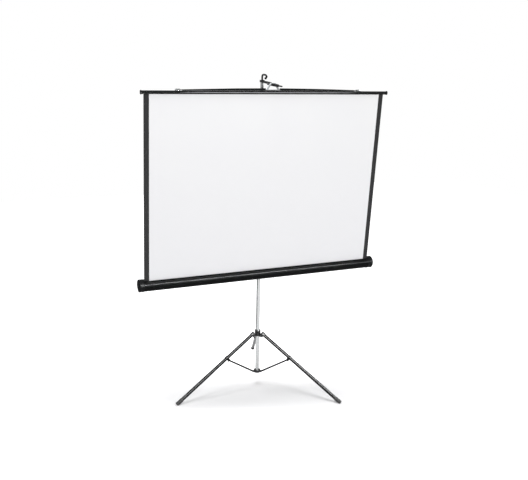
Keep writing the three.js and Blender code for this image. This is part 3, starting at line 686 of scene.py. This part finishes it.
def drawn_along_x(name, outline, centre, stations):
    """A bar of one outline in Y and Z round a centre, drawn along X through the stations."""
    return strip_mesh(name, [[Vector((x, centre.y + y, centre.z + z)) for y, z in outline]
                             for x in stations])


shell = drawn_along_x("case_fluted_shell", shell_outline(), case_centre, (case_low.x, case_high.x))
smooth_by_angle(shell, 40)
dressed(shell, case_coat, "mast", "case_enamel", "case_shell")
# The bead's faces take the glossier coat, painted paler: partly real gloss, partly a painted
# highlight.
shell.data.materials.append(bead_coat_painted_highlight)
for face in shell.data.polygons:
    from_middle = face.center - case_centre
    on_bead = off_bead(math.atan2(from_middle.z, from_middle.y)) < 1
    face.material_index = 1 if on_bead and from_middle.yz.length > case_radius else 0

# Case end caps. Moulded black caps, each with a sleeve over the case that is longer at the
# right, a raised rim and a dished face, held by one screw into the roller bracket.
cap_black = satin_finish("moulded_case_cap", "#141516", "#1B1C1D", 0.9, 0.08, 0.42, specular=0.06)
cap_low, cap_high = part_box("case_cap_right")
cap_face = cap_high.x - case_high.x
cap_plug = cap_low.x - case_high.x
cap_fit = 0.0003
cap_sides = 64
journal = 0.005
plug_depth = 0.008
plug_radius = case_radius - shell_wall - flute_sink - cap_fit
cap_edge_gap = 0.002
sleeve_wall = 0.0012
sleeve_bore = case_radius + cap_fit
cap_rim = sleeve_bore + sleeve_wall
screw_sides = 24
screw_profile = [(0, 0.0006), (0.0009, 0.0006), (0.0011, 0.0016), (0.003, 0.0014),
                 (0.0038, 0.0008), (0.0038, 0), (0, 0)]
for side_name, sign, cloth_edge in (("left", -1, -fabric_low.x), ("right", 1, fabric_high.x)):
    sleeve = case_high.x - cloth_edge - cap_edge_gap
    profile = [
        (0, cap_plug), (journal, cap_plug), (journal, -plug_depth), (plug_radius, -plug_depth),
        (plug_radius, cap_fit), (sleeve_bore, cap_fit), (sleeve_bore, -sleeve),
        (cap_rim - 0.0004, -sleeve), (cap_rim, 0.0006 - sleeve), (cap_rim, 0.003 - sleeve),
        (cap_rim - 0.0005, 0.0036 - sleeve), (cap_rim - 0.0005, -0.001), (cap_rim, 0.0),
        (cap_rim, cap_face * 0.55),
        (cap_rim - 0.0008, cap_face * 0.7), (cap_rim - 0.003, cap_face * 0.86),
        (cap_rim - 0.006, cap_face * 0.92), (cap_rim - 0.0075, cap_face * 0.84),
        (cap_rim * 0.6, cap_face * 0.9), (cap_rim * 0.3, cap_face * 0.97), (0, cap_face)]
    cap = spun_mesh(f"case_end_cap_{side_name}", profile, cap_sides)
    set_down(cap, Vector((sign * case_high.x, case_centre.y, case_centre.z)), (sign, 0, 0))
    smooth_by_angle(cap, 40)
    dressed(cap, cap_black, "mast", "plastic_black", f"case_cap_{side_name}")
    screw = spun_mesh(f"case_cap_screw_{side_name}", screw_profile, screw_sides)
    screw_place = Vector((sign * (case_high.x + cap_face), case_centre.y, case_centre.z))
    set_down(screw, screw_place, (sign, 0, 0))
    smooth_by_angle(screw)
    dressed(screw, satin_steel, "mast", "steel")

# Roller and spring motor. A thin rolled steel tube on plastic plugs, with the wound spring
# inside its right end; all of it is hidden in the case.
for plug_node in ("roller_plug_left", "roller_plug_right"):
    eased(plug_node, 0.3, moulded_black, "roller", "plastic_black")
eased("roller_tube", 0.2, satin_steel, "roller", "steel")
eased("spring_motor", 0.3, satin_steel, "mast", "steel")

# Fabric. Matte white coated cloth with a fine weave and masked black side borders. It runs
# from the roller through the slot and up to the slat, under the spring's even pull.
fabric_thickness = 0.0006
border_width = 0.031
border_blur = 0.0004
cloth_half = (fabric_high.x - fabric_low.x) / 2
cloth_middle = (fabric_high.x + fabric_low.x) / 2
cloth_columns = 96
cloth_rows = 72
cloth_normal = Vector((0, -fabric_rise.z, fabric_rise.y))
edge_curl = 0.0006
curl_reach = 0.05
ripple_height = 0.00015
ripple_waves = 5


def screen_cloth():
    """Painted light that whitens the cloth towards its top, a few slubs, black side borders and a
    woven bump.
    """
    thread_mm = 0.6
    waves_per_unit = 3.2
    slub_mm = 320
    painted_light_top_height = 1.13
    material, tree = empty_material("matte_white_screen_cloth")
    layout = add(tree, "ShaderNodeUVMap", uv_map="cloth").outputs[0]
    parts = add(tree, "ShaderNodeSeparateXYZ", {0: layout})
    threads = {"Vector": layout, "Scale": per_mm(thread_mm * waves_per_unit)}
    warp, weft = [add(tree, "ShaderNodeTexWave", threads, wave_type="BANDS", bands_direction=way)
                  for way in ("X", "Y")]
    weave = add(tree, "ShaderNodeMath", {
        0: warp.outputs["Fac"], 1: weft.outputs["Fac"]}, operation="MULTIPLY")
    slub = add(tree, "ShaderNodeTexNoise", {
        "Vector": layout, "Scale": per_mm(slub_mm), "Detail": 3.0})
    # Painted light: the cloth's white grows lighter towards its top, as if lit more from above.
    height = add(tree, "ShaderNodeMapRange", {
        "Value": parts.outputs["Y"], "From Max": painted_light_top_height})
    edge = add(tree, "ShaderNodeMath", {0: parts.outputs["X"]}, operation="ABSOLUTE")
    mask = add(tree, "ShaderNodeMapRange", {
        "Value": edge.outputs[0], "From Min": cloth_half - border_width - border_blur,
        "From Max": cloth_half - border_width + border_blur})
    colour = None
    for factor, second_hex in ((height.outputs[0], "#F8F8F8"), (slub.outputs["Fac"], "#F4F4F6"),
                               (mask.outputs[0], "#39393A")):
        mix = add(tree, "ShaderNodeMix", {"Factor": factor}, data_type="RGBA")
        first, second = rgba(mix.inputs)
        second.default_value = linear(second_hex)
        if colour:
            tree.links.new(colour, first)
        else:
            first.default_value = linear("#F3F3F5")
        colour = rgba(mix.outputs)[0]
    bump = add(tree, "ShaderNodeBump", {
        "Height": weave.outputs[0], "Strength": 0.18, "Distance": 0.0001})
    rough = add(tree, "ShaderNodeMapRange", {
        "Value": weave.outputs[0], "To Min": 0.86, "To Max": 0.97})
    shader = add(tree, "ShaderNodeBsdfPrincipled", {
        "Base Color": colour, "Roughness": rough.outputs[0], "Normal": bump.outputs[0],
        "Specular IOR Level": 0.03})
    add(tree, "ShaderNodeOutputMaterial", {"Surface": shader.outputs[0]})
    return material


def cloth_ring(share):
    """One level of the cloth: front and back faces, with edges that curl back very slightly."""
    front = []
    back = []
    middle = fabric_foot + (fabric_head - fabric_foot) * share
    bow = 4 * share * (1 - share)
    for k in range(cloth_columns + 1):
        x = fabric_low.x + (fabric_high.x - fabric_low.x) * k / cloth_columns
        near_edge = max(0.0, 1 - (cloth_half - abs(x - cloth_middle)) / curl_reach)
        ripple = ripple_height * math.sin(2 * math.pi * ripple_waves * share + x * 6) * bow
        lift = -edge_curl * bow * near_edge ** 2 + ripple
        point = Vector((x, middle.y, middle.z)) + cloth_normal * lift
        front.append(point + cloth_normal * fabric_thickness / 2)
        back.append(point - cloth_normal * fabric_thickness / 2)
    return front + back[::-1]


cloth_white = screen_cloth()
cloth = strip_mesh("screen_cloth_sheet",
                   [cloth_ring(k / cloth_rows) for k in range(cloth_rows + 1)])
smooth_by_angle(cloth, 40)
layout = cloth.data.uv_layers.new(name="cloth")
for loop in cloth.data.loops:
    corner = cloth.data.vertices[loop.vertex_index].co
    layout.data[loop.index].uv = (corner.x - cloth_middle, (corner - fabric_foot).dot(fabric_rise))
cloth.data.materials.clear()
cloth.data.materials.append(cloth_white)
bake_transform(cloth)
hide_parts("screen_fabric")

# Wound fabric. The last turns of the same cloth that stay on the roller when the screen is
# fully up, wound as one spiral.
roll_low, roll_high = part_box("fabric_roll")
wound_turns = 2
wound_pitch = 0.0004
wound_thickness = 0.00025
turn_steps = 40
spiral_steps = turn_steps * wound_turns
roll_start = (roll_high.z - roll_low.z) / 2 - wound_turns * wound_pitch


def spiral_point(k, offset):
    radius = roll_start + wound_pitch * wound_turns * k / spiral_steps + offset
    return around(radius, 2 * math.pi * wound_turns * k / spiral_steps)


spiral = [spiral_point(k, 0) for k in range(spiral_steps + 1)]
spiral += [spiral_point(k, -wound_thickness) for k in range(spiral_steps, -1, -1)]
wound = drawn_along_x("wound_cloth", spiral, case_centre, (roll_low.x, roll_high.x))
smooth_by_angle(wound, 40)
wound_layout = wound.data.uv_layers.new(name="cloth")
for loop in wound.data.loops:
    corner = wound.data.vertices[loop.vertex_index].co
    wound_layout.data[loop.index].uv = (corner.x - cloth_middle, corner.z - case_centre.z)
dressed(wound, cloth_white, "roller", "screen_fabric", "fabric_roll")

# Slat. A roll-formed bar, coated black, that grips the cloth's top. A thin grey strip along
# the middle of its front, between the bail's clips, is a painted highlight that fades at its ends.
slat_coat = satin_finish("black_slat_enamel", "#151616", "#1D1E1E", 0.8, 0.06, 0.3, specular=0.07)
# A painted highlight: a grey strip that stands in for a lamp's reflection on the slat's front.
slat_painted_highlight = satin_finish("grey_slat_painted_highlight", "#8C8D8F", "#9C9D9F", 1.0, 0.08, 0.3, specular=0.28)
eased("slat", 0.3, slat_coat, "extension", "slat_enamel")
for side_name in ("left", "right"):
    eased(f"slat_cap_{side_name}", 1.6, moulded_black, "extension", "plastic_black", segments=4)
slat_low, slat_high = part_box("slat")
highlight_height = (slat_low.z + slat_high.z) / 2
highlight_half = 0.0022
highlight_front = slat_low.y + 0.0009
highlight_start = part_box("bail_clip_left")[1].x
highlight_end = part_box("bail_clip_right")[0].x
# The strip narrows towards its ends, where the painted highlight fades.
highlight_stations = ((0, 0.15), (0.06, 0.6), (0.14, 1), (0.86, 1), (0.94, 0.6), (1, 0.15))
highlight_rings = []
for share, height in highlight_stations:
    x = highlight_start + (highlight_end - highlight_start) * share
    half = highlight_half * height
    highlight_rings.append([Vector((x, highlight_front + y, highlight_height + z)) for y, z in (
        (0.0004, -half), (-0.0012, -half * 0.8), (-0.0014, 0), (-0.0012, half * 0.8),
        (0.0002, half))])
highlight_strip = strip_mesh("slat_closing_edge", highlight_rings)
smooth_by_angle(highlight_strip, 50)
dressed(highlight_strip, slat_painted_highlight, "extension", "slat_enamel")

# Bail. A flat spring-steel strip, bowed between two plated clips that are riveted on the
# slat, with the pale moulded hanger at its middle.
pale_moulding = satin_finish("pale_grey_acetal", "#A3A6A8", "#AFB2B4", 0.8, 0.1, 0.32)
rivet_radius = 0.0024
rivet_inset = 0.006
rivet_rise = 0.45
rivet_base = 0.25
rivet_rings = 4
rivet_sides = 16


def copies_tree():
    """Copies of one small part on a carrier's points, each turned to the point's own facing."""
    tree = bpy.data.node_groups.new("copies_on_points", "GeometryNodeTree")
    face = tree.interface
    face.new_socket("Places", in_out="INPUT", socket_type="NodeSocketGeometry")
    face.new_socket("Part", in_out="INPUT", socket_type="NodeSocketObject")
    face.new_socket("Size", in_out="INPUT", socket_type="NodeSocketFloat")
    face.new_socket("Finish", in_out="INPUT", socket_type="NodeSocketMaterial")
    face.new_socket("Copies", in_out="OUTPUT", socket_type="NodeSocketGeometry")
    entry = add(tree, "NodeGroupInput")
    part = add(tree, "GeometryNodeObjectInfo", {
        "Object": entry.outputs["Part"], "As Instance": True})
    direction = add(tree, "GeometryNodeInputNamedAttribute", {
        "Name": "facing"}, data_type="FLOAT_VECTOR")
    turn = add(tree, "FunctionNodeAlignRotationToVector", {
        "Vector": direction.outputs[0]}, axis="Z")
    put = add(tree, "GeometryNodeInstanceOnPoints", {
        "Points": entry.outputs["Places"], "Instance": part.outputs["Geometry"],
        "Rotation": turn.outputs[0], "Scale": entry.outputs["Size"]})
    real = add(tree, "GeometryNodeRealizeInstances", {"Geometry": put.outputs[0]})
    painted = add(tree, "GeometryNodeSetMaterial", {
        "Geometry": real.outputs[0], "Material": entry.outputs["Finish"]})
    add(tree, "NodeGroupOutput", {"Copies": painted.outputs[0]})
    return tree


def places_object(points, facings):
    mesh = bpy.data.meshes.new("places")
    mesh.from_pydata([tuple(p) for p in points], [], [])
    facing = mesh.attributes.new("facing", "FLOAT_VECTOR", "POINT")
    for k, value in enumerate(facings):
        facing.data[k].vector = value
    carrier = bpy.data.objects.new("places", mesh)
    scene.collection.objects.link(carrier)
    return carrier


head_profile = [(0, 0), (1.0, 0)]
for k in range(rivet_rings + 1):
    angle = math.pi / 2 * k / rivet_rings
    head_profile.append((math.cos(angle) if k < rivet_rings else 0,
                         rivet_rise * (rivet_base + (1 - rivet_base) * math.sin(angle))))
rivet_part = spun_mesh("rivet_part", head_profile, rivet_sides)
rivet_part.data.shade_smooth()
rivet_part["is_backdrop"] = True
rivet_part.hide_render = True

copies_on_points = copies_tree()
eased("bail_strip", 0.4, slat_coat, "extension", "slat_enamel")
eased("bail_hanger", 1.0, pale_moulding, "extension", "pale_plastic", segments=3)
for side_name in ("left", "right"):
    clip = f"bail_clip_{side_name}"
    eased(clip, 0.6, bright_steel, "extension", "chrome")
    clip_low, clip_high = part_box(clip)
    clip_middle_y = (clip_low.y + clip_high.y) / 2
    spots = [Vector((x, clip_middle_y, clip_high.z))
             for x in (clip_low.x + rivet_inset, clip_high.x - rivet_inset)]
    heads = places_object(spots, [Vector((0, 0, 1))] * 2)
    rivets = run_tree(copies_on_points, heads, f"bail_clip_rivets_{side_name}", Part=rivet_part,
                      Size=rivet_radius, Finish=satin_steel)
    smooth_by_angle(rivets)
    dressed(rivets, satin_steel, "extension", "steel")

# Keystone arm. A notched flat bar of pressed steel with the same dark enamel as the legs;
# the hanger drops into one of its notches.
eased("keystone_arm", 0.5, leg_enamel, "extension", "dark_enamel")

# Carrying crook. A black moulded hook on the top block, swept along its own line and
# rounded off by a ball at its tip.
crook_low, crook_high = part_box("carrying_crook")
crook_radius = (crook_high.x - crook_low.x) / 2
crook_bulge = 0.0002
crook_rise = crook_high.z - crook_radius - crook_low.z
crook_reach = mast_y - crook_low.y - crook_radius - crook_bulge
crook_sides = 24
crook_steps = 8
crook_shares = [(0, 0), (0, 0.3), (0, 0.6), (0.1, 0.92), (0.42, 1), (0.78, 0.93), (1, 0.64),
                (0.78, 0.34)]
crook_points = [Vector((mast_x, mast_y - crook_reach * y, crook_low.z + crook_rise * z))
                for y, z in crook_shares]
ball_radius = 0.0072
ball_rings = 12


def through(points, steps):
    """A smooth path through the points, each stretch a cubic with the neighbours' slopes."""
    ends = [points[0] * 2 - points[1]] + points + [points[-1] * 2 - points[-2]]
    path = []
    for k in range(1, len(ends) - 2):
        before, here, there, after = ends[k - 1:k + 3]
        for step in range(steps):
            t = step / steps
            path.append(0.5 * ((2 * here) + (there - before) * t
                               + (2 * before - 5 * here + 4 * there - after) * t ** 2
                               + (3 * here - before - 3 * there + after) * t ** 3))
    path.append(points[-1])
    return path


crook = run_tree(swept_bar, path_object(through(crook_points, crook_steps)),
                 "carrying_crook_hook", Radius=crook_radius, Sides=crook_sides,
                 Finish=moulded_black)
smooth_by_angle(crook)
dressed(crook, moulded_black, "extension", "plastic_black", "carrying_crook")
ball_profile = [(ball_radius * math.sin(math.pi * k / ball_rings) if 0 < k < ball_rings else 0,
                 -ball_radius * math.cos(math.pi * k / ball_rings)) for k in range(ball_rings + 1)]
ball = spun_mesh("carrying_crook_ball", ball_profile, crook_sides)
ball.data.transform(Matrix.Translation(crook_points[-1]))
ball.data.shade_smooth()
dressed(ball, moulded_black, "extension", "plastic_black")

low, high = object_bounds()
